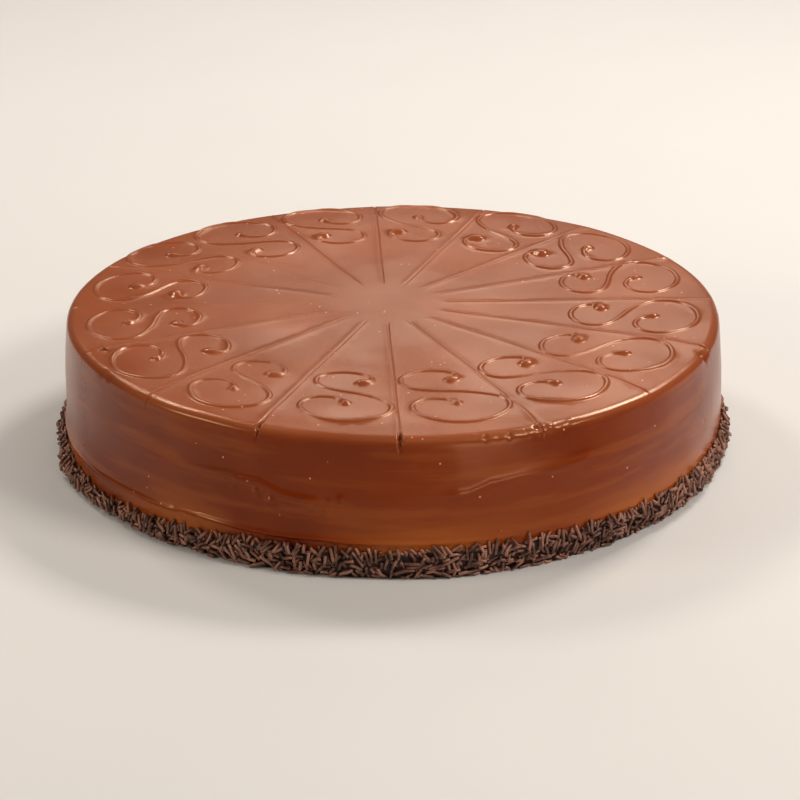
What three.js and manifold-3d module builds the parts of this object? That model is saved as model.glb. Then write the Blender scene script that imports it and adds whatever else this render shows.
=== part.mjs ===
// A whole sachertorte: a round cake under one smooth coat of chocolate glaze. Its top is marked into sixteen
// portions by fine cut lines, each portion carries a raised double scroll, and a border of chocolate sprinkles
// clings round its foot. Millimetres, +Z up. The origin is the middle of the flat base, the front is at -Y.

import * as THREE from 'three';
import { mergeVertices } from 'three/addons/utils/BufferGeometryUtils.js';
import Module from 'manifold-3d';

const wasm = await Module();
wasm.setup();

// Cake
const RIM_RADIUS = 130;
const CAKE_HEIGHT = 56;
const FOOT_FLARE = 2.5;
const SHOULDER_RADIUS = 3.2;
const SEGMENTS_AROUND = 72;
const SIDE_ROWS = 4;
const SHOULDER_ROWS = 4;

// The outline is not quite round: [lobes, cosine height, sine height].
const RIM_LOBES = [[2, 0, 0.7], [3, -0.7, 0.9]];
// The glaze ran down the side in low swells: [swells round the cake, turn per mm of height, start, height].
const SIDE_SWELLS = [[7, 0.05, 0.4, 0.35], [11, -0.09, 2.1, 0.25]];

// The marking of the top was set down a little left of and behind the middle, and turned a little.
const MARKING_X = -4;
const MARKING_Y = 5;
const MARKING_TURN = 2.4;
const PORTIONS = 16;
const PORTION_ANGLE = 360 / PORTIONS;

// Cut lines between the portions
const LINE_START = 21;
const LINE_DEPTH = 0.9;
const LINE_HALF_WIDTH = 0.6;
const LINE_TAPER = 5;
const NOTCH_LENGTH = 14;
const NOTCH_OVERRUN = 6;
const NOTCH_DEPTH = 3.6;
// The cutter for a line stands this far above the glaze, clear of the scrolls.
const CUTTER_RISE = 2;

// One scroll is a chain of arcs: [radius, turn in degrees], a left turn positive, seen from above with the rim
// to the right. It runs from the drop in its small inner loop to the drop in its big outer loop.
const SCROLL_RADIUS = 99.5;
const SCROLL_LEAD = 1.15;
const SCROLL_START = [-12.6, 2.8];
const SCROLL_HEADING = 100;
const SCROLL_ARCS = [[3.9, 125], [12.7, 82], [8, 116], [43, 14], [36, -25], [10, -92], [19, -110], [8.6, -191]];
const SCROLL_STEP_ANGLE = 24;
const BEAD_HALF_WIDTH = 1.5;
const BEAD_CROWN_HALF_WIDTH = 0.7;
const BEAD_HEIGHT = 0.8;
const BEAD_ROOT = 0.4;
const INNER_DROP = [4.2, 3.2, 2];
const OUTER_DROP = [3.4, 2.8, 1.8];
const DROP_SINK = 0.35;

// The scrolls were set by hand, so each is a little off: [turn, outward shift, tilt, size].
const SCROLL_SLIPS = [
  [0, 0, 0, 1.06], [0, -1, 0, 1.06], [0, -0.5, 0, 1.06], [0.8, 0, -6, 1.06],
  [2.4, 0, -10, 1.03], [1.2, 0.8, -9, 1.02], [0.5, 0.8, -6, 1.06], [1, -0.5, -7, 0.99],
  [0.8, -2.5, -5, 0.98], [0.9, -4.5, -8, 1.03], [-0.6, -1, -8, 0.99], [-1.3, -3, -8, 0.94],
  [-1.1, -2.5, -4, 0.94], [-1.4, -0.5, -4, 1.03], [-0.8, 0.7, -3, 0.96], [0.3, -0.8, 0, 0.99],
];

// Border of sprinkles
const BORDER_HEIGHT = 12;
const BORDER_WIDTH = 5.2;
const BORDER_GAP = 0.3;
const BORDER_SEGMENTS = 72;
// The heap's section, from its top against the cake down to its foot: [share of width, share of height].
const BORDER_SECTION = [[0, 0], [0, 1], [0.5, 0.92], [0.9, 0.65], [1, 0.35], [0.75, 0]];
// The heap is lumpy: [lumps round the cake, start, share].
const BORDER_LUMPS = [[9, 0.7, 0.08], [14, 2.9, 0.1], [23, 4.4, 0.08]];
// It is lowest at the left of the front: angle, spread to either side, share of the height that is missing.
const LOW_AT = -150;
const LOW_SPREAD = 38;
const LOW_SHARE = 0.5;
// It is narrowest at the right of the front, in the same terms.
const NARROW_AT = -65;
const NARROW_SPREAD = 50;
const NARROW_SHARE = 0.3;

const radians = THREE.MathUtils.degToRad;

function rimRadius(angle) {
  let radius = RIM_RADIUS;
  for (const [lobes, cosine, sine] of RIM_LOBES) {
    radius += cosine * Math.cos(lobes * angle) + sine * Math.sin(lobes * angle);
  }
  return radius;
}

function sideRadius(angle, z) {
  const fade = Math.sin((Math.PI * z) / CAKE_HEIGHT);
  let radius = rimRadius(angle) + FOOT_FLARE * (1 - z / CAKE_HEIGHT);
  for (const [swells, lean, start, height] of SIDE_SWELLS) {
    radius += fade * height * Math.sin(swells * angle + lean * z + start);
  }
  return radius;
}

// Height of the glaze over a point: flat, then falling round the shoulder.
function glazeHeight(x, y) {
  const outward = Math.hypot(x, y) - rimRadius(Math.atan2(y, x)) + SHOULDER_RADIUS;
  const past = THREE.MathUtils.clamp(outward, 0, SHOULDER_RADIUS);
  return CAKE_HEIGHT - SHOULDER_RADIUS + Math.sqrt(SHOULDER_RADIUS ** 2 - past ** 2);
}

// A closed mesh from rings of points that all have the same count, each ring joined to the next.
function ringGeometry(rings, closeOnItself) {
  const count = rings[0].length;
  const index = [];
  const spans = closeOnItself ? rings.length : rings.length - 1;
  for (let i = 0; i < spans; i += 1) {
    const next = (i + 1) % rings.length;
    for (let j = 0; j < count; j += 1) {
      const k = (j + 1) % count;
      const corners = [i * count + j, i * count + k, next * count + k, next * count + j];
      index.push(corners[0], corners[1], corners[2], corners[0], corners[2], corners[3]);
    }
  }
  if (!closeOnItself) {
    const last = (rings.length - 1) * count;
    for (let j = 1; j < count - 1; j += 1) {
      index.push(0, j + 1, j);
      index.push(last, last + j, last + j + 1);
    }
  }
  const geometry = new THREE.BufferGeometry();
  geometry.setAttribute('position', new THREE.Float32BufferAttribute(rings.flat(2), 3));
  geometry.setIndex(index);
  return geometry;
}

function toManifold(geometry) {
  const plain = geometry.clone();
  plain.deleteAttribute('normal');
  plain.deleteAttribute('uv');
  const merged = mergeVertices(plain, 1e-4);
  const vertProperties = new Float32Array(merged.attributes.position.array);
  const triVerts = new Uint32Array(merged.index.array);
  return new wasm.Manifold(new wasm.Mesh({ numProp: 3, vertProperties, triVerts }));
}

function toGeometry(manifold) {
  const { vertProperties, triVerts } = manifold.getMesh();
  const geometry = new THREE.BufferGeometry();
  geometry.setAttribute('position', new THREE.BufferAttribute(vertProperties, 3));
  geometry.setIndex(new THREE.BufferAttribute(triVerts, 1));
  geometry.computeVertexNormals();
  return geometry;
}

// The glazed cake before its top is worked: rings from the base up the side and round the shoulder.
function blankCake() {
  const levels = [];
  const sideTop = CAKE_HEIGHT - SHOULDER_RADIUS;
  for (let i = 0; i <= SIDE_ROWS; i += 1) {
    levels.push([(sideTop * i) / SIDE_ROWS, 0]);
  }
  for (let i = 1; i <= SHOULDER_ROWS; i += 1) {
    const lift = (Math.PI / 2) * (i / SHOULDER_ROWS);
    levels.push([sideTop + SHOULDER_RADIUS * Math.sin(lift), SHOULDER_RADIUS * (1 - Math.cos(lift))]);
  }
  const rings = levels.map(([z, inset]) => {
    const ring = [];
    for (let j = 0; j < SEGMENTS_AROUND; j += 1) {
      const angle = (2 * Math.PI * j) / SEGMENTS_AROUND;
      const radius = sideRadius(angle, z) - inset;
      ring.push([radius * Math.cos(angle), radius * Math.sin(angle), z]);
    }
    return ring;
  });
  return toManifold(ringGeometry(rings, false));
}

// A V-shaped cutter from near the middle out past the rim, where it deepens into a notch.
function portionLine(number) {
  const angle = radians(-90 + MARKING_TURN + PORTION_ANGLE * number);
  const along = [Math.cos(angle), Math.sin(angle)];
  const rim = rimRadius(angle) - MARKING_X * along[0] - MARKING_Y * along[1];
  const stations = [
    [LINE_START, 0.1],
    [LINE_START + LINE_TAPER, LINE_DEPTH],
    [rim - NOTCH_LENGTH, LINE_DEPTH],
    [rim + NOTCH_OVERRUN, NOTCH_DEPTH],
  ];
  const rings = stations.map(([distance, depth]) => {
    const x = MARKING_X + distance * along[0];
    const y = MARKING_Y + distance * along[1];
    const half = LINE_HALF_WIDTH * (0.5 + (0.5 * depth) / LINE_DEPTH) * (1 + CUTTER_RISE / depth);
    return [
      [x, y, CAKE_HEIGHT - depth],
      [x - half * along[1], y + half * along[0], CAKE_HEIGHT + CUTTER_RISE],
      [x + half * along[1], y - half * along[0], CAKE_HEIGHT + CUTTER_RISE],
    ];
  });
  return toManifold(ringGeometry(rings, false));
}

// Points of the scroll's centre line about its own middle: [outward, across, heading].
function scrollPath() {
  let [x, y] = SCROLL_START;
  let heading = radians(SCROLL_HEADING);
  const path = [[x, y, heading]];
  for (const [radius, turn] of SCROLL_ARCS) {
    const steps = Math.max(2, Math.round(Math.abs(turn) / SCROLL_STEP_ANGLE));
    const step = radians(turn) / steps;
    const chord = 2 * radius * Math.sin(Math.abs(step) / 2);
    for (let i = 0; i < steps; i += 1) {
      x += chord * Math.cos(heading + step / 2);
      y += chord * Math.sin(heading + step / 2);
      heading += step;
      path.push([x, y, heading]);
    }
  }
  return path;
}

// The same points carried to one portion of the cake's top.
function placedPath(number) {
  const [turn, shift, tilt, size] = SCROLL_SLIPS[number];
  const portion = radians(-90 + MARKING_TURN + PORTION_ANGLE * (number + 0.5) + SCROLL_LEAD + turn);
  const facing = portion + radians(tilt);
  const middleX = MARKING_X + (SCROLL_RADIUS + shift) * Math.cos(portion);
  const middleY = MARKING_Y + (SCROLL_RADIUS + shift) * Math.sin(portion);
  return scrollPath().map(([outward, across, heading]) => [
    middleX + size * (outward * Math.cos(facing) - across * Math.sin(facing)),
    middleY + size * (outward * Math.sin(facing) + across * Math.cos(facing)),
    heading + facing,
  ]);
}

function bead(path) {
  const section = [
    [-BEAD_HALF_WIDTH, -BEAD_ROOT],
    [-BEAD_CROWN_HALF_WIDTH, BEAD_HEIGHT],
    [BEAD_CROWN_HALF_WIDTH, BEAD_HEIGHT],
    [BEAD_HALF_WIDTH, -BEAD_ROOT],
  ];
  const rings = path.map(([x, y, heading]) => section.map(([aside, lift]) => {
    const px = x + aside * Math.sin(heading);
    const py = y - aside * Math.cos(heading);
    return [px, py, glazeHeight(px, py) + lift];
  }));
  return toManifold(ringGeometry(rings, false));
}

function drop([x, y, heading], [length, width, height]) {
  const geometry = new THREE.SphereGeometry(1, 8, 6);
  geometry.rotateX(Math.PI / 2);
  geometry.scale(length, width, height);
  geometry.rotateZ(heading);
  geometry.translate(x, y, glazeHeight(x, y) - DROP_SINK);
  return toManifold(geometry);
}

function scroll(number) {
  const path = placedPath(number);
  return bead(path).add(drop(path[0], INNER_DROP)).add(drop(path[path.length - 1], OUTER_DROP));
}

function cakeBody() {
  let solid = blankCake();
  for (let number = 0; number < PORTIONS; number += 1) {
    solid = solid.add(scroll(number));
  }
  for (let number = 0; number < PORTIONS; number += 1) {
    solid = solid.subtract(portionLine(number));
  }
  const glaze = new THREE.MeshStandardMaterial({ color: 0x8a4a30, roughness: 0.35, metalness: 0 });
  const mesh = new THREE.Mesh(toGeometry(solid), glaze);
  mesh.name = 'cake_body';
  return mesh;
}

// What is left of a size at an angle where it dips by a share round one place.
function dipped(angle, place, spread, share) {
  const away = THREE.MathUtils.euclideanModulo(THREE.MathUtils.radToDeg(angle) - place + 180, 360) - 180;
  return 1 - share * Math.exp(-((away / spread) ** 2));
}

function sprinkleBorder() {
  const rings = [];
  for (let j = 0; j < BORDER_SEGMENTS; j += 1) {
    const angle = (2 * Math.PI * j) / BORDER_SEGMENTS;
    const height = BORDER_HEIGHT * dipped(angle, LOW_AT, LOW_SPREAD, LOW_SHARE);
    const width = BORDER_WIDTH * dipped(angle, NARROW_AT, NARROW_SPREAD, NARROW_SHARE);
    let swell = 1;
    for (const [lumps, start, share] of BORDER_LUMPS) {
      swell += share * Math.sin(lumps * angle + start);
    }
    rings.push(BORDER_SECTION.map(([outward, upward]) => {
      const z = upward * height * (0.75 + 0.25 * swell);
      const wall = sideRadius(angle, z) + BORDER_GAP;
      const radius = wall + outward * width * swell;
      return [radius * Math.cos(angle), radius * Math.sin(angle), z];
    }));
  }
  const chocolate = new THREE.MeshStandardMaterial({ color: 0x2b1712, roughness: 0.5, metalness: 0 });
  const geometry = ringGeometry(rings, true);
  geometry.computeVertexNormals();
  const mesh = new THREE.Mesh(geometry, chocolate);
  mesh.name = 'sprinkle_border';
  return mesh;
}

const cake = new THREE.Group();
cake.add(cakeBody(), sprinkleBorder());

export default cake;
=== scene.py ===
"""A whole sachertorte under one coat of chocolate glaze: its marked top with sixteen raised scrolls, its
side with the seam, lip and bumps of poured glaze, and the border of chocolate sprinkles round its foot.

Lengths in this script are millimetres and angles are degrees about the cake's axis, with the front at
-90. make_piece() turns millimetres into metres."""

import math
import random

import bpy
import numpy as np
from mathutils import Matrix, Vector
from mathutils.geometry import delaunay_2d_cdt


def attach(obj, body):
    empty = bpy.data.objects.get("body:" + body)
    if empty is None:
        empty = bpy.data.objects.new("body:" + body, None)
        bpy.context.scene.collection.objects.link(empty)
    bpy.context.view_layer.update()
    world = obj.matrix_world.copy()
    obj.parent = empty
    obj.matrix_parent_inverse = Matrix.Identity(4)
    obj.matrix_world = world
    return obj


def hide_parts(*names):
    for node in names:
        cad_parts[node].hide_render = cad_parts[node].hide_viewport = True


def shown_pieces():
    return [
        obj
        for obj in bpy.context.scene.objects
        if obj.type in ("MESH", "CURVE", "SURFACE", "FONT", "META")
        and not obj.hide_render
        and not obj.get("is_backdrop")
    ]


MM = 0.001

# The cake's outline, as in the CAD
RIM_RADIUS = 130
CAKE_HEIGHT = 56
FOOT_FLARE = 2.5
SHOULDER_RADIUS = 3.2
SIDE_TOP = CAKE_HEIGHT - SHOULDER_RADIUS
RIM_LOBES = ((2, 0, 0.7), (3, -0.7, 0.9))
SIDE_SWELLS = ((7, 0.05, 0.4, 0.35), (11, -0.09, 2.1, 0.25))

# The marking of the top, as in the CAD
MARKING_X = -4
MARKING_Y = 5
MARKING_TURN = 2.4
PORTIONS = 16
PORTION_ANGLE = 360 / PORTIONS
LINE_START = 21
SCROLL_RADIUS = 99.5
SCROLL_LEAD = 1.15
SCROLL_START = (-12.6, 2.8)
SCROLL_HEADING = 100
SCROLL_ARCS = ((3.9, 125), (12.7, 82), (8, 116), (43, 14), (36, -25), (10, -92), (19, -110), (8.6, -191))
# Each scroll is a little off: turn, outward shift, tilt, size.
SCROLL_SLIPS = (
    (0, 0, 0, 1.06), (0, -1, 0, 1.06), (0, -0.5, 0, 1.06), (0.8, 0, -6, 1.06),
    (2.4, 0, -10, 1.03), (1.2, 0.8, -9, 1.02), (0.5, 0.8, -6, 1.06), (1, -0.5, -7, 0.99),
    (0.8, -2.5, -5, 0.98), (0.9, -4.5, -8, 1.03), (-0.6, -1, -8, 0.99), (-1.3, -3, -8, 0.94),
    (-1.1, -2.5, -4, 0.94), (-1.4, -0.5, -4, 1.03), (-0.8, 0.7, -3, 0.96), (0.3, -0.8, 0, 0.99),
)

# Relief of the scrolls: a round bead, finer than the CAD's, that swells into a drop at each end
SCROLL_STEP = 0.3
BEAD_HALF_WIDTH = 1.1
BEAD_HEIGHT = 0.6
BEAD_FULLNESS = 0.7
INNER_DROP_LENGTH = 6.5
INNER_DROP_HALF_WIDTH = 2.9
INNER_DROP_HEIGHT = 1.55
OUTER_DROP_LENGTH = 4.5
OUTER_DROP_HALF_WIDTH = 2.2
OUTER_DROP_HEIGHT = 1.3
SCROLL_REACH = 5

# Relief of the cut lines: a V groove with raised lips, which runs out over the shoulder as a notch
LINE_TAPER = 5
LINE_HALF_WIDTH = 0.5
LINE_DEPTHS = (
    0.42, 0.36, 0.3, 0.28, 0.26, 0.26, 0.32, 0.36,
    0.4, 0.3, 0.1, 0.22, 0.08, 0.2, 0.36, 0.44,
)
NOTCH_DEPTHS = (
    3.2, 0.5, 0.2, 0.9, 0.2, 0.3, 0.2, 0.4,
    0.3, 0.3, 0.2, 0.4, 0.2, 0.3, 0.9, 2.6,
)
NOTCH_MIDDLE = 2.5
NOTCH_SPREAD = 4.2
NOTCH_END = 7.5
NOTCH_SPLAY = 0.16
LIP_HEIGHT = 0.14
LIP_HALF_WIDTH = 0.42
FULL_LINE_DEPTH = 0.36
LINE_WANDER = 0.12

# Poured glaze on the side: the seam between the layers, above which the side leans back, and the low lip
# where the coat ends, as (angle, height) along each.
SEAM = ((-180, 33), (-137, 33), (-120, 35), (-112, 34), (-100, 30), (-88, 32), (-78, 34.5), (-70, 38),
        (-60, 39), (-35, 37), (0, 36), (60, 34), (120, 37), (180, 33))
# Above the seam the side leans in by this much per mm, most at the front right: (angle, slope).
SEAM_SLOPE = ((-180, 0.03), (-120, 0.05), (-95, 0.08), (-80, 0.16), (-50, 0.15), (-20, 0.04), (60, 0.04),
              (180, 0.03))
SEAM_FADE = 26
SEAM_EDGE = 0.8
UPPER_PROUD = 0.4
LOW_LIP = ((-180, 14), (-150, 13.6), (-128.6, 14.6), (-127.6, 15.6), (-122, 15.3), (-110, 14.6), (-102, 15.6),
           (-94, 15), (-60, 14), (-20, 13), (40, 14.5), (100, 13.5), (150, 15), (180, 14))
LOW_LIP_STRENGTH = ((-180, 0.5), (-152, 0.6), (-146, 1), (-128.8, 1), (-128.2, 0.5), (-124, 0.6), (-123, 1.1),
                    (-103, 1.1), (-101, 0.5), (-97, 0.9), (-94, 0.35), (-80, 0.15), (-20, 0.1), (60, 0.3),
                    (120, 0.5), (180, 0.5))
# The foot of the side draws in behind the sprinkles, most at the front right: (angle, depth).
FOOT_PINCH = ((-180, 0), (-150, 0.3), (-120, 1.2), (-90, 1.8), (-60, 2.5), (-35, 2.1), (-10, 0.5), (180, 0))
FOOT_PINCH_TOP = 14
LOW_LIP_HEIGHT = 1.1
LOW_LIP_STEP = 0.8
LOW_LIP_HALF_WIDTH = 0.75
SIDE_WAVE = 0.13
SIDE_RIPPLE = 0.06

# Narrow ridges of glaze on the side: height, half width, then (angle, height) along each
RIDGES = (
    (0.8, 1.2, ((-118, 33.2), (-115, 34.2), (-111.8, 34.4), (-108.2, 31.3), (-105.3, 30.5), (-101, 29.5))),
    (0.35, 1.2, ((-138, 32.8), (-129, 32.6), (-124, 34), (-119, 35.2), (-115, 35.8))),
    (0.55, 1.2, ((-83, 33.2), (-78.5, 34.1), (-75, 37), (-70, 38), (-64, 38.6), (-56, 40))),
    (0.28, 1.6, ((-128, 25), (-118, 23.5), (-110, 23.8))),
    (0.2, 1.5, ((20, 30), (34, 33), (48, 31))),
    (0.18, 1.4, ((95, 36), (112, 33), (124, 34))),
)
# Bumps in the glaze on the side: angle, height, half width, rise
BUMPS = (
    (-112.3, 30.7, 1.3, 1.2), (-109.8, 27.8, 1.7, 1.6), (-103.4, 27.5, 1.2, 1.05), (-98.5, 31.5, 1.1, 0.9),
    (-100.4, 30.1, 0.8, 0.5), (-101.1, 26.0, 0.9, 0.55), (-88, 46, 2.6, 0.3), (-85.5, 43, 2.2, 0.25),
    (-116.5, 30.2, 1.0, 0.35), (70, 28, 1.2, 0.6), (76, 31, 1, 0.5), (150, 26, 1.3, 0.6),
)

# The broken edge at the front right of the rim, other nicks, the hole in the top at the left, and the
# slow unevenness of the top. Each nick: angle, distance past the shoulder's inner edge, half width, rise.
CHIPPED_FROM = -79
CHIPPED_TO = -60
CHIP_DEPTH = 0.14
CHIP_HALF_WIDTH = 0.8
CHIP_LIP_RISE = 0.28
CHIP_EDGE = 4.1
CHIP_EDGE_WANDER = 0.7
NICKS = ((-66.4, 2.6, 1.2, -1.3), (-64.2, 3.2, 1.6, 0.55), (-149, 3.4, 2.2, -0.5), (-146.5, 4, 1.2, -0.6),
         (-21.5, 3.2, 2.2, -1.6), (-19.5, 4.8, 1.4, 0.6), (-75.5, 3.8, 0.9, -0.7), (-71.5, 4.2, 0.8, -0.6))
HOLE_X = -112.6
HOLE_Y = -46.7
HOLE_HALF_WIDTH = 1.15
HOLE_DEPTH = 2.4
HOLE_LIP_RISE = 0.35
HOLE_LIP_HALF_WIDTH = 0.5
TOP_WAVE = 0.1
TOP_RIPPLE = 0.07

# Mesh of the glaze
COLUMN_SPACING = 0.62
FINE_COLUMNS = ((-126, -92, 0.27), (-82, -58, 0.26))
NOTCH_COLUMNS = 9
NOTCH_COLUMN_SPACING = 0.14
SIDE_LEVELS = ((0, 10, 3.3), (10, 18, 0.5), (18, 24, 1.7), (24, 40, 0.95), (40, SIDE_TOP, 2.2))
SHOULDER_ROWS = 9
BEAD_OFFSETS = (0, 0.42, 0.8, 1.12, 1.5)
BEAD_POINT_STEP = 1.0
LINE_OFFSETS = (0, 0.26, 0.55, 0.9, 1.5)
LINE_POINT_STEP = 1.7
DROP_RINGS = (0.7, 1.3, 1.9, 2.5, 3.1, 3.8)
DROP_POINT_SPACING = 0.75
HOLE_RINGS = (0.3, 0.6, 0.9, 1.2, 1.6, 2.1)
PLAIN_SPACING = 2.3
PLAIN_ROW_SHARE = 0.866
PLAIN_JITTER = 0.18
THINNING_CELL = 2.0
NARROWEST_COLUMN = 0.04
CLEARANCE = 0.33
RIM_CLEARANCE = 0.5

# The top rolls off a little before the shoulder, most at the front: where it starts and ends past the
# shoulder's inner edge, and (angle, drop) round the cake.
ROLL_START = -13
ROLL_LENGTH = 17
ROLL_DROPS = ((-180, 0.3), (-150, 0.5), (-120, 0.9), (-90, 1.1), (-55, 1.3), (-25, 0.8), (0, 0.3), (180, 0.3))

# Border of sprinkles: its outline, as in the CAD but narrower at the front right
BORDER_HEIGHT = 12
BORDER_WIDTH = 5.2
LOW_AT = -150
LOW_SPREAD = 38
LOW_SHARE = 0.5
NARROW_AT = -65
NARROW_SPREAD = 50
NARROW_SHARE = 0.4
BORDER_LUMPS = ((9, 0.7, 0.08), (14, 2.9, 0.1), (23, 4.4, 0.08))

# Sprinkles
SPRINKLE_TRIES = 24000
SPRINKLE_RADIUS = (0.52, 0.68)
SPRINKLE_LENGTH = 5.0
SPRINKLE_LENGTH_SPREAD = 1.25
SHORTEST_SPRINKLE = 2.2
LONGEST_SPRINKLE = 8.2
SPRINKLE_TIP_SPREAD = 11
# Bow of a sprinkle, picked at random: half of them are straight.
SPRINKLE_BOWS = (0, 0, 0, 0.3, 0.6, 1.0)
# Near the top of the heap, down to this share of its section, this share of the sprinkles stand up.
STANDING_ABOVE = 0.25
STANDING_SHARE = 0.4
SPRINKLE_SIDES = 6
BED_SHARE = 0.12
BED_SINK = 0.6
BED_SEGMENTS = 720
BED_SECTION = (0.12, 0.3, 0.5, 0.7, 0.85, 1)
BED_TOP_SHARE = 0.2
BED_TOP_DROP = 1.6
BED_ROUGHNESS = 0.5
LIFT_STEP = 0.45
HEAP_LIMIT = 0.9
OVERLAP_ALLOWED = 0.86
FOOT_FROM = 0.6
FOOT_TUCK = 0.4
WALL_ANGLE_STEP = 0.5
WALL_LEVEL_STEP = 0.5
WALL_HEIGHT = 20
CELL_ANGLE = 3
CELLS = 120

rng = random.Random(485)


def smooth(share):
    """0 below 0, 1 above 1, and a smooth step between."""
    share = np.clip(share, 0, 1)
    return share * share * (3 - 2 * share)


def bell(distance, half_width):
    return np.exp(-((distance / half_width) ** 2))


def turn_between(angle, other):
    """Degrees from other to angle, from -180 to 180."""
    return (angle - other + 180) % 360 - 180


def track(angle, points):
    """Value at each angle of a line through (angle, value) points."""
    angles, values = np.array(points).T
    return np.interp(turn_between(angle, 0), angles, values)


def wander(angle, seed, waves):
    """A smooth uneven line round the cake, from about -1 to 1, with that many waves at most."""
    chance = random.Random(seed)
    total = np.zeros_like(angle, dtype=float)
    for count in range(2, waves):
        total += chance.uniform(-1, 1) * np.sin(np.radians(count * angle) + chance.uniform(0, 2 * math.pi))
    return total / math.sqrt(waves / 3)


def rim_radius(angle):
    turn = np.radians(angle)
    radius = RIM_RADIUS + np.zeros_like(turn)
    for lobes, cosine, sine in RIM_LOBES:
        radius = radius + cosine * np.cos(lobes * turn) + sine * np.sin(lobes * turn)
    return radius


def side_radius(angle, z):
    """The plain side, before its relief."""
    turn = np.radians(angle)
    fade = np.sin(math.pi * z / CAKE_HEIGHT)
    radius = rim_radius(angle) + FOOT_FLARE * (1 - z / CAKE_HEIGHT)
    for swells, lean, start, height in SIDE_SWELLS:
        radius = radius + fade * height * np.sin(swells * turn + lean * z + start)
    return radius


def angle_of(x, y):
    return np.degrees(np.arctan2(y, x))


# Scrolls

def scroll_line():
    """One scroll about its own middle: outward, across, heading and way along, from inner to outer drop."""
    x, y = SCROLL_START
    heading = math.radians(SCROLL_HEADING)
    way = 0
    line = [(x, y, heading, way)]
    for radius, turn in SCROLL_ARCS:
        length = radius * math.radians(abs(turn))
        steps = max(2, round(length / SCROLL_STEP))
        step = math.radians(turn) / steps
        chord = 2 * radius * math.sin(abs(step) / 2)
        for _ in range(steps):
            x += chord * math.cos(heading + step / 2)
            y += chord * math.sin(heading + step / 2)
            heading += step
            way += length / steps
            line.append((x, y, heading, way))
    return np.array(line)


def placed_scroll(number, line):
    """The scroll of one portion: x, y, heading, half width and height of the bead at each step."""
    turn, shift, tilt, size = SCROLL_SLIPS[number]
    portion = math.radians(-90 + MARKING_TURN + PORTION_ANGLE * (number + 0.5) + SCROLL_LEAD + turn)
    facing = portion + math.radians(tilt)
    outward, across, heading, way = line.T
    x = MARKING_X + (SCROLL_RADIUS + shift) * math.cos(portion)
    y = MARKING_Y + (SCROLL_RADIUS + shift) * math.sin(portion)
    x = x + size * (outward * math.cos(facing) - across * math.sin(facing))
    y = y + size * (outward * math.sin(facing) + across * math.cos(facing))
    inner = 1 - smooth(way / INNER_DROP_LENGTH)
    outer = 1 - smooth((way[-1] - way) / OUTER_DROP_LENGTH)
    pressure = 1 + 0.1 * np.sin(way / 17 + number) + 0.07 * np.sin(way / 6.3 + 2 * number)
    drop = rng.uniform(0.85, 1.15)
    half_width = BEAD_HALF_WIDTH * (1 + 0.5 * (pressure - 1))
    half_width = half_width + inner * (INNER_DROP_HALF_WIDTH * drop - half_width)
    half_width = half_width + outer * (OUTER_DROP_HALF_WIDTH * drop - half_width)
    height = BEAD_HEIGHT * pressure
    height = height + inner * (INNER_DROP_HEIGHT * drop - height)
    height = height + outer * (OUTER_DROP_HEIGHT * drop - height)
    return np.array((x, y, heading + facing, half_width, height))


SCROLL_LINE = scroll_line()
SCROLLS = [placed_scroll(number, SCROLL_LINE) for number in range(PORTIONS)]


def scroll_relief(x, y):
    lift = np.zeros_like(x)
    for line_x, line_y, _, half_width, height in SCROLLS:
        near = (x > line_x.min() - SCROLL_REACH) & (x < line_x.max() + SCROLL_REACH)
        near &= (y > line_y.min() - SCROLL_REACH) & (y < line_y.max() + SCROLL_REACH)
        distance = np.hypot(x[near, None] - line_x, y[near, None] - line_y)
        share = np.clip(1 - (distance / half_width) ** 2, 0, 1)
        rise = (height * share**BEAD_FULLNESS).max(axis=1)
        lift[near] = np.maximum(lift[near], rise)
    return lift


# Cut lines

def line_angle(number):
    return math.radians(-90 + MARKING_TURN + PORTION_ANGLE * number)


def line_relief(x, y, past):
    """Depth of the grooves, height of their lips, and how much of a scroll each cuts away. past is how far
    the point lies past the inner edge of the shoulder, along the surface."""
    depth = np.zeros_like(x)
    lip = np.zeros_like(x)
    cut = np.zeros_like(x)
    for number in range(PORTIONS):
        turn = line_angle(number)
        along = (x - MARKING_X) * math.cos(turn) + (y - MARKING_Y) * math.sin(turn)
        aside = (y - MARKING_Y) * math.cos(turn) - (x - MARKING_X) * math.sin(turn)
        aside = np.abs(aside - LINE_WANDER * np.sin(along / 9 + number))
        ends = smooth((along - LINE_START) / LINE_TAPER) * (1 - smooth((past - NOTCH_END + 2) / 2))
        notch = NOTCH_DEPTHS[number] * bell(past - NOTCH_MIDDLE, NOTCH_SPREAD)
        plain = LINE_DEPTHS[number] * (1 - smooth(past / SHOULDER_RADIUS))
        half_width = LINE_HALF_WIDTH + NOTCH_SPLAY * notch
        share = np.clip(1 - aside / half_width, 0, 1) * ends
        depth = np.maximum(depth, share * (plain + notch))
        edge = bell(aside - half_width - 0.8 * LIP_HALF_WIDTH, LIP_HALF_WIDTH)
        fullness = min(1, LINE_DEPTHS[number] / FULL_LINE_DEPTH)
        strength = LIP_HEIGHT * fullness * (1 - smooth(past / SHOULDER_RADIUS))
        lip = np.maximum(lip, edge * ends * strength)
        cut = np.maximum(cut, ends * (1 - smooth((aside - half_width) / 0.5)))
    return depth, lip, cut


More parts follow.
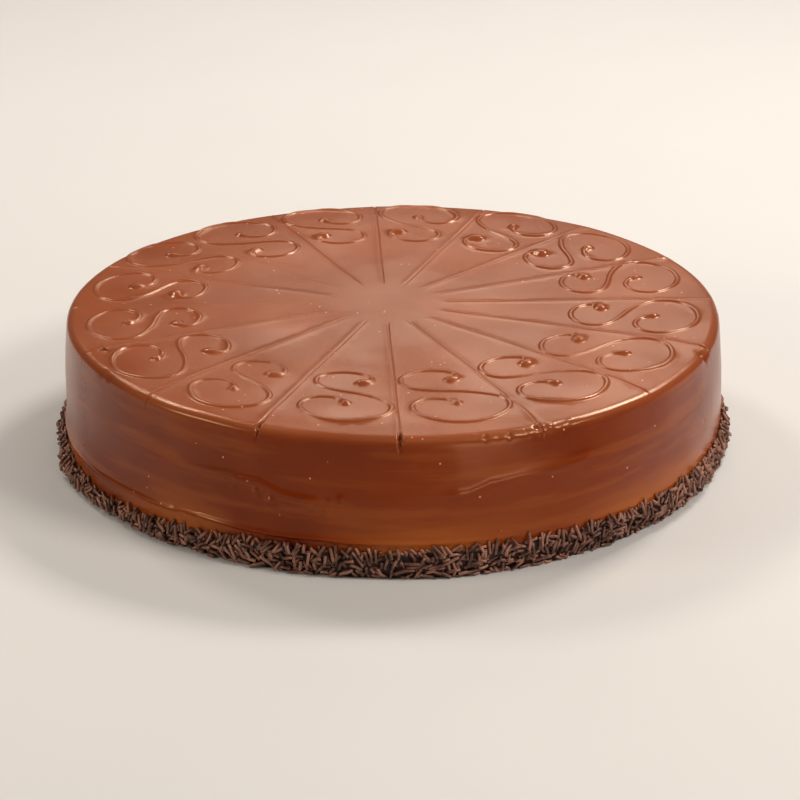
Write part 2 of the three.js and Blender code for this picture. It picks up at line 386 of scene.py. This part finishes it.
def rim_relief(angle, past):
    """Chips along the broken edge of the rim, and single nicks."""
    turn = turn_between(angle, 0)
    chipped = smooth((turn - CHIPPED_FROM) / 2) * (1 - smooth((turn - CHIPPED_TO) / 2))
    edge = CHIP_EDGE + CHIP_EDGE_WANDER * wander(angle, 11, 90)
    jag = np.clip(0.5 + 1.1 * wander(angle, 12, 230), 0, 1.4)
    relief = -CHIP_DEPTH * chipped * jag * bell(past - edge, CHIP_HALF_WIDTH)
    torn = np.clip(wander(angle, 13, 160), 0, 1)
    relief += CHIP_LIP_RISE * chipped * bell(past - edge + 1.3, 0.7) * torn
    for at, far, half_width, rise in NICKS:
        away = np.radians(turn_between(angle, at)) * RIM_RADIUS
        relief += rise * np.exp(-(((away / half_width) ** 2 + (past - far) ** 2 / half_width**2) ** 1.5))
    return relief


def top_relief(x, y, past):
    depth, lip, cut = line_relief(x, y, past)
    relief = scroll_relief(x, y) * (1 - cut) + lip - depth
    relief += (TOP_WAVE * np.sin(x / 19 + 0.6) * np.sin(y / 15 - 1.1)
               + TOP_RIPPLE * np.sin(x / 9 - y / 12))
    relief -= track(angle_of(x, y), ROLL_DROPS) * smooth((past - ROLL_START) / ROLL_LENGTH)
    hole = np.hypot(x - HOLE_X, y - HOLE_Y) * (1 + 0.25 * np.sin(3 * np.arctan2(y - HOLE_Y, x - HOLE_X)))
    relief += HOLE_LIP_RISE * bell(hole - 1.5 * HOLE_HALF_WIDTH, HOLE_LIP_HALF_WIDTH)
    relief -= HOLE_DEPTH * np.exp(-((hole / HOLE_HALF_WIDTH) ** 4))
    return relief


def side_relief(angle, z):
    """How far the side stands proud of the plain side."""
    seam = track(angle, SEAM)
    slope = track(angle, SEAM_SLOPE)
    above = np.logaddexp(0, (z - seam) / SEAM_EDGE) * SEAM_EDGE
    relief = UPPER_PROUD + slope * (SIDE_TOP - seam - above)
    relief = relief * bell(np.clip(seam - z, 0, None), SEAM_FADE)
    strength = track(angle, LOW_LIP_STRENGTH)
    below = track(angle, LOW_LIP) - z
    relief += LOW_LIP_HEIGHT * strength * bell(below, LOW_LIP_HALF_WIDTH)
    relief -= LOW_LIP_STEP * strength * smooth((below - 0.3) / 1.6) * (1 - 0.6 * smooth((below - 6) / 6))
    for rise, half_width, points in RIDGES:
        angles = np.array(points)[:, 0]
        turn = turn_between(angle, 0)
        ends = smooth((turn - angles[0]) / 3) * (1 - smooth((turn - angles[-1] + 3) / 3))
        relief += rise * ends * bell(z - track(angle, points), half_width)
    for at, height, half_width, rise in BUMPS:
        away = np.hypot(np.radians(turn_between(angle, at)) * RIM_RADIUS, z - height)
        relief += rise * np.exp(-((away / half_width) ** 2.4))
    relief += SIDE_WAVE * wander(angle, 3, 14) * np.sin(z / 13 + 1)
    relief += SIDE_RIPPLE * wander(angle + 0.3 * z, 4, 34)
    return relief * smooth((z + 2) / 4) - track(angle, FOOT_PINCH) * (1 - smooth(z / FOOT_PINCH_TOP))


# Mesh of the glazed cake

def columns():
    """Angles of the mesh's columns, closer together at the notches and where the glaze is rough."""
    angles = list(np.arange(-180, 180, COLUMN_SPACING))
    for start, end, spacing in FINE_COLUMNS:
        angles = [a for a in angles if not start < a < end]
        angles += list(np.arange(start, end, spacing))
    for number in range(PORTIONS):
        turn = line_angle(number)
        rim = RIM_RADIUS - MARKING_X * math.cos(turn) - MARKING_Y * math.sin(turn)
        middle = math.degrees(math.atan2(MARKING_Y + rim * math.sin(turn), MARKING_X + rim * math.cos(turn)))
        reach = NOTCH_COLUMN_SPACING * NOTCH_COLUMNS / 2
        angles = [a for a in angles if abs(turn_between(a, middle)) > reach]
        angles += [turn_between(middle + NOTCH_COLUMN_SPACING * (i - NOTCH_COLUMNS // 2), 0)
                   for i in range(NOTCH_COLUMNS)]
    angles.sort()
    kept = [a for a, b in zip(angles, angles[1:] + [angles[0] + 360]) if b - a > NARROWEST_COLUMN]
    return np.array(kept)


def side_levels():
    levels = []
    for start, end, spacing in SIDE_LEVELS:
        count = max(1, round((end - start) / spacing))
        levels += [start + (end - start) * i / count for i in range(count)]
    return levels


def cake_rings(angles):
    """Rings of points from the foot up the side and over the shoulder to the flat of the top."""
    turn = np.radians(angles)
    rings = []
    for z in side_levels():
        past = SHOULDER_RADIUS * math.pi / 2 + SIDE_TOP - z
        plain = side_radius(angles, z)
        depth, _, _ = line_relief(plain * np.cos(turn), plain * np.sin(turn), past)
        radius = plain + side_relief(angles, z) + rim_relief(angles, past) - depth
        rings.append(np.array((radius * np.cos(turn), radius * np.sin(turn), np.full_like(turn, z))).T)
    for row in range(SHOULDER_ROWS + 1):
        lift = math.pi / 2 * row / SHOULDER_ROWS
        z = SIDE_TOP + SHOULDER_RADIUS * math.sin(lift)
        past = np.full_like(turn, SHOULDER_RADIUS * (math.pi / 2 - lift))
        lean = side_relief(angles, SIDE_TOP) * math.cos(lift)
        radius = side_radius(angles, z) - SHOULDER_RADIUS * (1 - math.cos(lift))
        x = radius * np.cos(turn)
        y = radius * np.sin(turn)
        push = rim_relief(angles, past) + top_relief(x, y, past) * math.sin(lift)
        depth, _, _ = line_relief(x, y, past)
        push = push - depth * (1 - math.sin(lift))
        radius = radius + lean + push * math.cos(lift)
        rings.append(np.array((radius * np.cos(turn), radius * np.sin(turn), z + push * math.sin(lift))).T)
    return rings


def top_points():
    """Points of the top in order of importance: along the scrolls and lines, round the drops and the hole,
    then an even field. Each group keeps clear of those before it."""
    groups = []
    for x, y, heading, _, _ in SCROLLS:
        picked = slice(None, None, max(1, round(BEAD_POINT_STEP / SCROLL_STEP)))
        for offset in BEAD_OFFSETS:
            for sign in ((1, -1) if offset else (1,)):
                aside_x = x[picked] + sign * offset * np.sin(heading[picked])
                aside_y = y[picked] - sign * offset * np.cos(heading[picked])
                groups.append((np.array((aside_x, aside_y)).T, 0.8 * CLEARANCE))
        for end in (0, -1):
            groups.append((ring_points(x[end], y[end], DROP_RINGS, DROP_POINT_SPACING), 1.4 * CLEARANCE))
    groups.append((ring_points(HOLE_X, HOLE_Y, HOLE_RINGS, 0.35), 0.5 * CLEARANCE))
    for number in range(PORTIONS):
        turn = line_angle(number)
        along = np.arange(LINE_START - 2, RIM_RADIUS + 12, LINE_POINT_STEP)
        for offset in LINE_OFFSETS:
            for sign in ((1, -1) if offset else (1,)):
                aside = sign * offset
                line_x = MARKING_X + along * math.cos(turn) - aside * math.sin(turn)
                line_y = MARKING_Y + along * math.sin(turn) + aside * math.cos(turn)
                groups.append((np.array((line_x, line_y)).T, 0.8 * CLEARANCE))
    groups.append((field_points(), 1.2))
    return groups


def ring_points(x, y, radii, spacing):
    points = [(x, y)]
    for radius in radii:
        count = max(6, round(2 * math.pi * radius / spacing))
        for i in range(count):
            turn = 2 * math.pi * (i + 0.5 * (count % 2)) / count
            points.append((x + radius * math.cos(turn), y + radius * math.sin(turn)))
    return np.array(points)


def field_points():
    rows = math.ceil(RIM_RADIUS / (PLAIN_SPACING * PLAIN_ROW_SHARE))
    points = []
    for row in range(-rows, rows + 1):
        shift = PLAIN_SPACING / 2 * (row % 2)
        for x in np.arange(-RIM_RADIUS - PLAIN_SPACING, RIM_RADIUS + PLAIN_SPACING, PLAIN_SPACING):
            spread = PLAIN_JITTER * PLAIN_SPACING
            points.append((x + shift + rng.uniform(-spread, spread),
                           row * PLAIN_SPACING * PLAIN_ROW_SHARE + rng.uniform(-spread, spread)))
    return np.array(points)


def thinned(groups, edge):
    """The groups' points that lie inside the edge ring and clear of each other."""
    cell = THINNING_CELL
    grid = {}
    kept = []

    def put(x, y):
        grid.setdefault((math.floor(x / cell), math.floor(y / cell)), []).append((x, y))

    def is_clear(x, y, gap):
        column = math.floor(x / cell)
        row = math.floor(y / cell)
        for i in (column - 1, column, column + 1):
            for j in (row - 1, row, row + 1):
                for other_x, other_y in grid.get((i, j), ()):
                    if (x - other_x) ** 2 + (y - other_y) ** 2 < gap * gap:
                        return False
        return True

    for x, y in edge:
        put(x, y)
    for points, gap in groups:
        away = np.hypot(points[:, 0], points[:, 1])
        limit = rim_radius(angle_of(points[:, 0], points[:, 1])) - SHOULDER_RADIUS - RIM_CLEARANCE
        for x, y in points[away < limit]:
            if is_clear(x, y, gap):
                put(x, y)
                kept.append((x, y))
    return np.array(kept)


def glaze_mesh():
    angles = columns()
    count = len(angles)
    rings = cake_rings(angles)
    faces = []
    for i in range(len(rings) - 1):
        for j in range(count):
            k = (j + 1) % count
            faces.append((i * count + j, i * count + k, (i + 1) * count + k, (i + 1) * count + j))
    # The top ring's place on the flat, from before its relief, is the edge of the top's own mesh.
    flat_radius = side_radius(angles, CAKE_HEIGHT) - SHOULDER_RADIUS
    turn = np.radians(angles)
    edge = np.array((flat_radius * np.cos(turn), flat_radius * np.sin(turn))).T
    inner = thinned(top_points(), edge)
    flat = [Vector((float(x), float(y))) for x, y in np.concatenate((edge, inner))]
    _, _, triangles, origins, _, _ = delaunay_2d_cdt(flat, [], [], 0, 1e-5)
    x, y = inner.T
    past = np.hypot(x, y) - rim_radius(angle_of(x, y)) + SHOULDER_RADIUS
    heights = CAKE_HEIGHT + top_relief(x, y, past)
    top = np.column_stack((inner, heights))
    ring_start = (len(rings) - 1) * count
    for triangle in triangles:
        corners = [origins[corner][0] for corner in triangle]
        faces.append(tuple(ring_start + corner for corner in corners))
    foot = ring_start + count + len(inner)
    points = np.concatenate((*rings, top, [(0, 0, 0)]))
    faces += [(foot, (j + 1) % count, j) for j in range(count)]
    return points, faces


# Pieces and materials

def make_piece(name, points, faces, material, node):
    mesh = bpy.data.meshes.new(name)
    mesh.from_pydata((np.asarray(points) * MM).tolist(), [], faces)
    mesh.validate()
    mesh.shade_smooth()
    mesh.materials.append(material)
    piece = bpy.data.objects.new(name, mesh)
    bpy.context.scene.collection.objects.link(piece)
    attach(piece, "root")
    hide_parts(node)
    return piece


def linear(red, green, blue):
    """A screen colour of 0 to 255 as the linear colour that Blender's sockets take."""
    channels = [c / 255 for c in (red, green, blue)]
    return (*[c / 12.92 if c <= 0.04045 else ((c + 0.055) / 1.055) ** 2.4 for c in channels], 1)


class Nodes:
    """Short calls for building one material."""

    def __init__(self, name):
        self.material = bpy.data.materials.new(name)
        self.material.use_nodes = True
        self.tree = self.material.node_tree
        self.shader = self.tree.nodes["Principled BSDF"]
        self.place = self.add("ShaderNodeTexCoord").outputs["Object"]

    def add(self, kind, **settings):
        node = self.tree.nodes.new(kind)
        for key, value in settings.items():
            setattr(node, key, value)
        return node

    def join(self, source, socket):
        self.tree.links.new(source, socket)

    def noise(self, scale, detail=3, roughness=0.5, stretch=None):
        node = self.add("ShaderNodeTexNoise")
        node.inputs["Scale"].default_value = scale
        node.inputs["Detail"].default_value = detail
        node.inputs["Roughness"].default_value = roughness
        if stretch:
            mapping = self.add("ShaderNodeMapping")
            mapping.inputs["Scale"].default_value = stretch
            self.join(self.place, mapping.inputs["Vector"])
            self.join(mapping.outputs["Vector"], node.inputs["Vector"])
        else:
            self.join(self.place, node.inputs["Vector"])
        return node.outputs["Fac"]

    def spread(self, value, low, high, to_low=0, to_high=1):
        node = self.add("ShaderNodeMapRange", interpolation_type="SMOOTHSTEP")
        self.join(value, node.inputs["Value"])
        node.inputs["From Min"].default_value = low
        node.inputs["From Max"].default_value = high
        node.inputs["To Min"].default_value = to_low
        node.inputs["To Max"].default_value = to_high
        return node.outputs["Result"]

    def times(self, first, second):
        node = self.add("ShaderNodeMath", operation="MULTIPLY")
        for value, socket in ((first, node.inputs[0]), (second, node.inputs[1])):
            if isinstance(value, (int, float)):
                socket.default_value = value
            else:
                self.join(value, socket)
        return node.outputs["Value"]

    def mix(self, share, first, second):
        node = self.add("ShaderNodeMix", data_type="RGBA")
        self.join(share, node.inputs["Factor"])
        for value, socket in ((first, node.inputs[6]), (second, node.inputs[7])):
            if isinstance(value, tuple):
                socket.default_value = value
            else:
                self.join(value, socket)
        return node.outputs[2]

    def axis(self, name):
        node = self.add("ShaderNodeSeparateXYZ")
        self.join(self.place, node.inputs["Vector"])
        return node.outputs[name]

    def bump(self, height, distance, strength, before=None):
        node = self.add("ShaderNodeBump")
        node.inputs["Strength"].default_value = strength
        node.inputs["Distance"].default_value = distance
        self.join(height, node.inputs["Height"])
        if before:
            self.join(before, node.inputs["Normal"])
        return node.outputs["Normal"]


def glaze_material():
    n = Nodes("chocolate_glaze")
    height = n.axis("Z")
    patches = n.noise(22, 2)
    cloud = n.spread(patches, 0.35, 0.65)
    side = n.mix(cloud, linear(104, 33, 5), linear(117, 42, 8))
    streaks = n.spread(n.noise(6, 3, 0.6, stretch=(3, 3, 26)), 0.46, 0.66, 0, 0.3)
    side = n.mix(streaks, side, linear(152, 78, 32))
    # Painted reflection: the foot of the side is mixed towards a warm amber that stands for the gold board's
    # light reflected there.
    foot = n.spread(height, 0.004, 0.03, 1, 0)
    side = n.mix(n.times(foot, n.spread(n.noise(14, 1), 0.3, 0.7)), side, linear(172, 92, 34))
    top = n.mix(cloud, linear(130, 65, 35), linear(141, 73, 41))
    base = n.mix(n.spread(height, 0.050, 0.0556), side, top)

    on_top = n.spread(height, 0.053, 0.0558)
    grain = n.noise(1500, 4, 0.7)
    grainy = n.times(n.spread(n.noise(26, 2), 0.3, 0.7), on_top)
    pits = n.times(n.spread(grain, 0.52, 0.66), grainy)
    base = n.mix(n.times(pits, 0.5), base, linear(104, 50, 28))

    # Painted glints: a few small bright specks painted into the colour of the glaze.
    dots = n.add("ShaderNodeTexVoronoi")
    dots.inputs["Scale"].default_value = 210
    n.join(n.place, dots.inputs["Vector"])
    few = n.spread(n.noise(120, 1), 0.56, 0.6)
    painted_glints = n.times(n.spread(dots.outputs["Distance"], 0.06, 0.1, 1, 0), few)
    base = n.mix(n.times(painted_glints, 0.7), base, linear(230, 170, 125))
    n.join(base, n.shader.inputs["Base Color"])

    raised = n.spread(height, 0.0561, 0.0564, 0.24, 0.16)
    n.join(n.times(raised, n.spread(n.noise(35, 3), 0.3, 0.7, 0.92, 1.08)), n.shader.inputs["Roughness"])
    n.shader.inputs["Specular IOR Level"].default_value = 0.4
    n.shader.inputs["Specular Tint"].default_value = (1.0, 0.68, 0.42, 1)
    rubs = n.noise(9, 4, 0.6, stretch=(6, 90, 6))
    on_side = n.spread(height, 0.052, 0.0555, 1, 0.15)
    normal = n.bump(n.times(n.noise(38, 1), on_side), 0.0012, 0.4)
    normal = n.bump(n.times(rubs, on_top), 0.0003, 0.18, normal)
    normal = n.bump(n.times(grain, grainy), 0.0002, 0.7, normal)
    n.join(normal, n.shader.inputs["Normal"])
    return n.material


def sprinkle_material():
    n = Nodes("chocolate_sprinkles")
    shade = n.spread(n.noise(170, 1), 0.35, 0.65)
    base = n.mix(shade, linear(84, 51, 40), linear(150, 104, 87))
    bloom = n.spread(n.noise(900, 3), 0.5, 0.75)
    base = n.mix(n.times(bloom, 0.3), base, linear(150, 112, 96))
    n.join(base, n.shader.inputs["Base Color"])
    n.shader.inputs["Roughness"].default_value = 0.38
    n.shader.inputs["Specular IOR Level"].default_value = 0.45
    n.join(n.bump(n.noise(1400, 3), 0.00015, 0.5), n.shader.inputs["Normal"])
    return n.material


def painted_shade_bed_material():
    n = Nodes("sprinkle_bed_painted_shade")
    # Painted shade: the bed is coloured darker than the sprinkles, so that it reads as sprinkles in shade
    # between the rods.
    base = n.mix(n.spread(n.noise(500, 2), 0.4, 0.6), linear(30, 17, 12), linear(58, 35, 26))
    n.join(base, n.shader.inputs["Base Color"])
    n.shader.inputs["Roughness"].default_value = 0.6
    n.join(n.bump(n.noise(700, 3), 0.0006, 0.8), n.shader.inputs["Normal"])
    return n.material


# Border of sprinkles

def border_swell(angle):
    swell = 1
    for lumps, start, share in BORDER_LUMPS:
        swell = swell + share * np.sin(lumps * np.radians(angle) + start)
    return swell


def border_top(angle):
    low = LOW_SHARE * bell(turn_between(angle, LOW_AT), LOW_SPREAD)
    return BORDER_HEIGHT * (1 - low) * (0.75 + 0.25 * border_swell(angle))


def border_width(angle):
    narrow = NARROW_SHARE * bell(turn_between(angle, NARROW_AT), NARROW_SPREAD)
    return BORDER_WIDTH * (1 - narrow) * border_swell(angle)


class Wall:
    """The cake's side behind the border and the heap's size, tabled once as they are asked for often."""

    def __init__(self):
        angles = np.arange(0, 360, WALL_ANGLE_STEP)
        levels = np.arange(0, WALL_HEIGHT, WALL_LEVEL_STEP)
        self.radii = [(side_radius(angles, z) + side_relief(angles, z)).tolist() for z in levels]
        self.tops = border_top(angles).tolist()
        self.widths = border_width(angles).tolist()

    def column(self, angle):
        return round(angle / WALL_ANGLE_STEP) % len(self.tops)

    def radius(self, angle, z):
        level = min(len(self.radii) - 1, max(0, round(z / WALL_LEVEL_STEP)))
        return self.radii[level][self.column(angle)]

    def heap_point(self, angle, share, out):
        """A point of the heap's section: share runs from its top against the side, 0, to its foot, 1, and
        out from the side, 0, to the heap's outline, 1."""
        bend = math.pi / 2 * share
        column = self.column(angle)
        z = self.tops[column] * math.cos(bend) ** 0.8
        tuck = 1 - FOOT_TUCK * max(0, share - FOOT_FROM) / (1 - FOOT_FROM)
        radius = self.radius(angle, z) + self.widths[column] * out * tuck * math.sin(bend) ** 0.75
        turn = math.radians(angle)
        return Vector((radius * math.cos(turn), radius * math.sin(turn), z))


def bed_mesh(wall):
    """The smaller core under the sprinkles, from its top against the side down to its foot."""
    section = [(0, BED_TOP_SHARE)] + [(share, BED_SHARE) for share in BED_SECTION]
    rings = []
    for i in range(BED_SEGMENTS):
        angle = -180 + 360 * i / BED_SEGMENTS
        turn = math.radians(angle)
        ring = []
        for share, out in section:
            point = wall.heap_point(angle, share, out * rng.uniform(0.8, 1.25))
            rough = rng.uniform(-BED_ROUGHNESS, BED_ROUGHNESS) * (share < 1)
            point.z = max(0, point.z - BED_TOP_DROP * (1 - share) + rough)
            ring.append(tuple(point))
        ring[-1] = (ring[-1][0], ring[-1][1], 0)
        foot = wall.radius(angle, 0) - BED_SINK
        ring.append((foot * math.cos(turn), foot * math.sin(turn), 0))
        top_z = ring[0][2]
        inner = wall.radius(angle, top_z) - BED_SINK
        ring.insert(0, (inner * math.cos(turn), inner * math.sin(turn), top_z))
        rings.append(ring)
    size = len(rings[0])
    faces = []
    for i in range(BED_SEGMENTS):
        k = (i + 1) % BED_SEGMENTS
        for j in range(size):
            m = (j + 1) % size
            faces.append((i * size + j, i * size + m, k * size + m, k * size + j))
    return [point for ring in rings for point in ring], faces


def segment_gaps(start, end, starts, ends):
    """Least distance from one segment to each of many."""
    u = end - start
    v = ends - starts
    w = start - starts
    a = u @ u
    b = v @ u
    c = (v * v).sum(axis=1)
    d = w @ u
    e = (v * w).sum(axis=1)
    denominator = np.maximum(a * c - b * b, 1e-9)
    s = np.clip((b * e - c * d) / denominator, 0, 1)
    t = np.clip((b * s + e) / c, 0, 1)
    s = np.clip((b * t - d) / a, 0, 1)
    return np.linalg.norm(w + s[:, None] * u - t[:, None] * v, axis=1)


class Heap:
    """Sprinkles laid one by one, each lifted clear of those before it."""

    def __init__(self):
        self.cells = {}
        self.count = 0
        self.starts = np.zeros((SPRINKLE_TRIES, 3))
        self.ends = np.zeros((SPRINKLE_TRIES, 3))
        self.radii = np.zeros(SPRINKLE_TRIES)

    def near(self, angle):
        cell = math.floor(angle / CELL_ANGLE)
        found = []
        for i in range(cell - 1, cell + 2):
            found += self.cells.get(i % CELLS, [])
        return found

    def is_clear(self, found, start, end, radius):
        gaps = segment_gaps(np.array(start), np.array(end), self.starts[found], self.ends[found])
        return bool((gaps > OVERLAP_ALLOWED * (self.radii[found] + radius)).all())

    def put(self, angle, start, end, radius):
        self.cells.setdefault(math.floor(angle / CELL_ANGLE) % CELLS, []).append(self.count)
        self.starts[self.count] = start
        self.ends[self.count] = end
        self.radii[self.count] = radius
        self.count += 1


def sprinkle_ends(wall, angle, share, out, length, spin, tip):
    """Both ends of a sprinkle on the heap: spin turns it on the heap's surface and tip raises it."""
    middle = wall.heap_point(angle, share, out)
    turn = math.radians(angle)
    around = Vector((-math.sin(turn), math.cos(turn), 0))
    above = wall.heap_point(angle, max(0, share - 0.05), out)
    below = wall.heap_point(angle, min(1, share + 0.05), out)
    down = (below - above).normalized()
    outward = down.cross(around)
    heading = math.cos(tip) * (math.cos(spin) * around + math.sin(spin) * down) + math.sin(tip) * outward
    return middle - heading * length / 2, middle + heading * length / 2


def settle(wall, point, radius):
    """Moves one end of a sprinkle out of the floor and out of the cake's side."""
    point.z = max(point.z, radius)
    away = math.hypot(point.x, point.y)
    least = wall.radius(math.degrees(math.atan2(point.y, point.x)), point.z) + radius
    if away < least:
        point.x *= least / away
        point.y *= least / away


def lay_sprinkles(wall):
    """Each sprinkle: start, end, radius and bend."""
    heap = Heap()
    laid = []
    for _ in range(SPRINKLE_TRIES):
        angle = rng.uniform(-180, 180)
        share = rng.betavariate(1.15, 0.85)
        length = rng.gauss(SPRINKLE_LENGTH, SPRINKLE_LENGTH_SPREAD)
        length = min(LONGEST_SPRINKLE, max(SHORTEST_SPRINKLE, length))
        radius = rng.uniform(*SPRINKLE_RADIUS)
        spin = rng.uniform(0, math.pi)
        tip = math.radians(rng.gauss(0, SPRINKLE_TIP_SPREAD))
        if share < STANDING_ABOVE and rng.random() < STANDING_SHARE:
            spin = math.pi / 2 + rng.gauss(0, 0.4)
        bend = rng.choice(SPRINKLE_BOWS) * rng.uniform(0.6, 1.2)
        found = heap.near(angle)
        out = BED_SHARE
        while out < HEAP_LIMIT:
            start, end = sprinkle_ends(wall, angle, share, out, length, spin, tip)
            settle(wall, start, radius)
            settle(wall, end, radius)
            if not found or heap.is_clear(found, start, end, radius):
                heap.put(angle, start, end, radius)
                laid.append((start, end, radius, bend))
                break
            out += LIFT_STEP / BORDER_WIDTH
    return laid


def rod_points(start, end, radius, bend):
    """Rings of one sprinkle's skin from end to end, with a point on the middle of each blunt end."""
    axis = (end - start).normalized()
    across = axis.orthogonal().normalized()
    across = Matrix.Rotation(rng.uniform(0, 2 * math.pi), 3, axis) @ across
    over = axis.cross(across)
    length = (end - start).length
    blunt = 0.3 * radius
    stations = [(0, 0.72), (blunt / length, 0.97), (0.5, 1.02), (1 - blunt / length, 1), (1, 0.7)]
    points = [start - axis * 0.1 * radius]
    for share, size in stations:
        bow = bend * 4 * share * (1 - share)
        middle = start.lerp(end, share) + across * bow
        for i in range(SPRINKLE_SIDES):
            turn = 2 * math.pi * i / SPRINKLE_SIDES
            reach = radius * size * rng.uniform(0.94, 1.05)
            points.append(middle + reach * (math.cos(turn) * across + math.sin(turn) * over))
    points.append(end + axis * 0.1 * radius)
    lowest = min(p.z for p in points)
    if lowest < 0:
        points = [p - Vector((0, 0, lowest)) for p in points]
    return [tuple(p) for p in points], len(stations)


def sprinkle_mesh(rods):
    points = []
    faces = []
    for rod in rods:
        first = len(points)
        skin, rings = rod_points(*rod)
        points += skin
        last = first + len(skin) - 1
        for i in range(SPRINKLE_SIDES):
            k = (i + 1) % SPRINKLE_SIDES
            faces.append((first, first + 1 + k, first + 1 + i))
            base = first + 1 + (rings - 1) * SPRINKLE_SIDES
            faces.append((last, base + i, base + k))
            for ring in range(rings - 1):
                low = first + 1 + ring * SPRINKLE_SIDES
                high = low + SPRINKLE_SIDES
                faces.append((low + i, low + k, high + k, high + i))
    return points, faces


# Stage: floor, soft lights and the camera

FLOOR_HALF_SIZE = 6000
WORLD_STRENGTH = 0.1
OVERHEAD_STRENGTH = 0.3
OVERHEAD_SPREAD = 50
CAMERA_PLACE = (0, -1079.29, 463.51)
CAMERA_AIM = (2.016, 0, 15.72)
CAMERA_ROLL = 0.158
CAMERA_LENS = 129.44
SENSOR_WIDTH = 36


def make_floor():
    size = FLOOR_HALF_SIZE
    mesh = bpy.data.meshes.new("floor")
    corners = [(-size, -size), (size, -size), (size, size), (-size, size)]
    mesh.from_pydata([(x * MM, y * MM, 0) for x, y in corners], [], [(0, 1, 2, 3)])
    n = Nodes("pale_floor")
    n.join(n.mix(n.noise(8, 2), linear(203, 205, 208), linear(207, 209, 212)), n.shader.inputs["Base Color"])
    n.shader.inputs["Roughness"].default_value = 0.8
    mesh.materials.append(n.material)
    floor = bpy.data.objects.new("floor", mesh)
    bpy.context.scene.collection.objects.link(floor)
    floor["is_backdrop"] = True


def soft_light(name, place, aim, width, height, power, colour=(1, 1, 1)):
    lamp = bpy.data.lights.new(name, "AREA")
    lamp.shape = "RECTANGLE"
    lamp.size = width * MM
    lamp.size_y = height * MM
    lamp.energy = power
    lamp.color = colour
    light = bpy.data.objects.new(name, lamp)
    light.location = Vector(place) * MM
    light.rotation_euler = (Vector(aim) - Vector(place)).to_track_quat("-Z", "Y").to_euler()
    bpy.context.scene.collection.objects.link(light)


def make_lights():
    world = bpy.data.worlds.new("studio")
    world.use_nodes = True
    world.node_tree.nodes["Background"].inputs["Color"].default_value = (1, 0.92, 0.84, 1)
    world.node_tree.nodes["Background"].inputs["Strength"].default_value = WORLD_STRENGTH
    bpy.context.scene.world = world
    soft_light("back_low", (110, 1130, 680), (0, 0, 50), 500, 340, 1.8, (1, 0.84, 0.7))
    soft_light("back_right", (516, 615, 930), (0, 0, 50), 300, 240, 9, (1, 0.88, 0.76))
    soft_light("back_left", (-513, 657, 900), (0, 0, 50), 260, 240, 4.4, (1, 0.88, 0.76))
    soft_light("right", (805, -465, 880), (0, 0, 50), 380, 300, 8.8, (1, 0.88, 0.74))
    soft_light("left", (-1080, -400, 520), (0, 0, 40), 380, 300, 4.8, (1, 0.86, 0.66))
    soft_light("front_low", (560, -980, 160), (50, -100, 45), 520, 220, 1.7, (1, 0.82, 0.74))
    lamp = bpy.data.lights.new("overhead", "SUN")
    lamp.energy = OVERHEAD_STRENGTH
    lamp.angle = math.radians(OVERHEAD_SPREAD)
    light = bpy.data.objects.new("overhead", lamp)
    light.rotation_euler = Vector((-0.25, 0.3, -1)).to_track_quat("-Z", "Y").to_euler()
    bpy.context.scene.collection.objects.link(light)
    bpy.context.scene.view_settings.view_transform = "Standard"


def make_camera():
    lens = bpy.data.cameras.new("camera")
    lens.sensor_width = SENSOR_WIDTH
    lens.lens = CAMERA_LENS
    camera = bpy.data.objects.new("camera", lens)
    camera.location = Vector(CAMERA_PLACE) * MM
    facing = (Vector(CAMERA_AIM) - Vector(CAMERA_PLACE)).to_track_quat("-Z", "Y")
    roll = Matrix.Rotation(math.radians(CAMERA_ROLL), 3, "Z")
    camera.rotation_euler = (facing.to_matrix() @ roll).to_euler()
    bpy.context.scene.collection.objects.link(camera)
    bpy.context.scene.camera = camera


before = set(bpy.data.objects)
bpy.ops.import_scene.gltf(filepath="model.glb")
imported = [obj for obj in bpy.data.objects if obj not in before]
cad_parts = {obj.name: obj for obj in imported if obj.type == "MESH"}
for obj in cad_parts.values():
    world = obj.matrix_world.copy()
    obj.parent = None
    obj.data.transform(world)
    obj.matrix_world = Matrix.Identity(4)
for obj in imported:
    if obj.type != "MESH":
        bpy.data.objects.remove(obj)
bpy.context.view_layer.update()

make_camera()
make_lights()
make_floor()

glaze_points, glaze_faces = glaze_mesh()
make_piece("glazed_cake", glaze_points, glaze_faces, glaze_material(), "cake_body")

wall = Wall()
bed_points, bed_faces = bed_mesh(wall)
make_piece("sprinkle_bed_painted_shade", bed_points, bed_faces, painted_shade_bed_material(), "sprinkle_border")

sprinkles = lay_sprinkles(wall)
straight = [rod for rod in sprinkles if rod[3] == 0]
curved = [rod for rod in sprinkles if rod[3] > 0]
look = sprinkle_material()
for name, rods in (("sprinkles_straight", straight), ("sprinkles_curved", curved)):
    rod_skin, rod_faces = sprinkle_mesh(rods)
    make_piece(name, rod_skin, rod_faces, look, "sprinkle_border")
    print(name, len(rods), "sprinkles")

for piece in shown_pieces():
    print(piece.name, sum(len(p.vertices) - 2 for p in piece.data.polygons), "triangles")
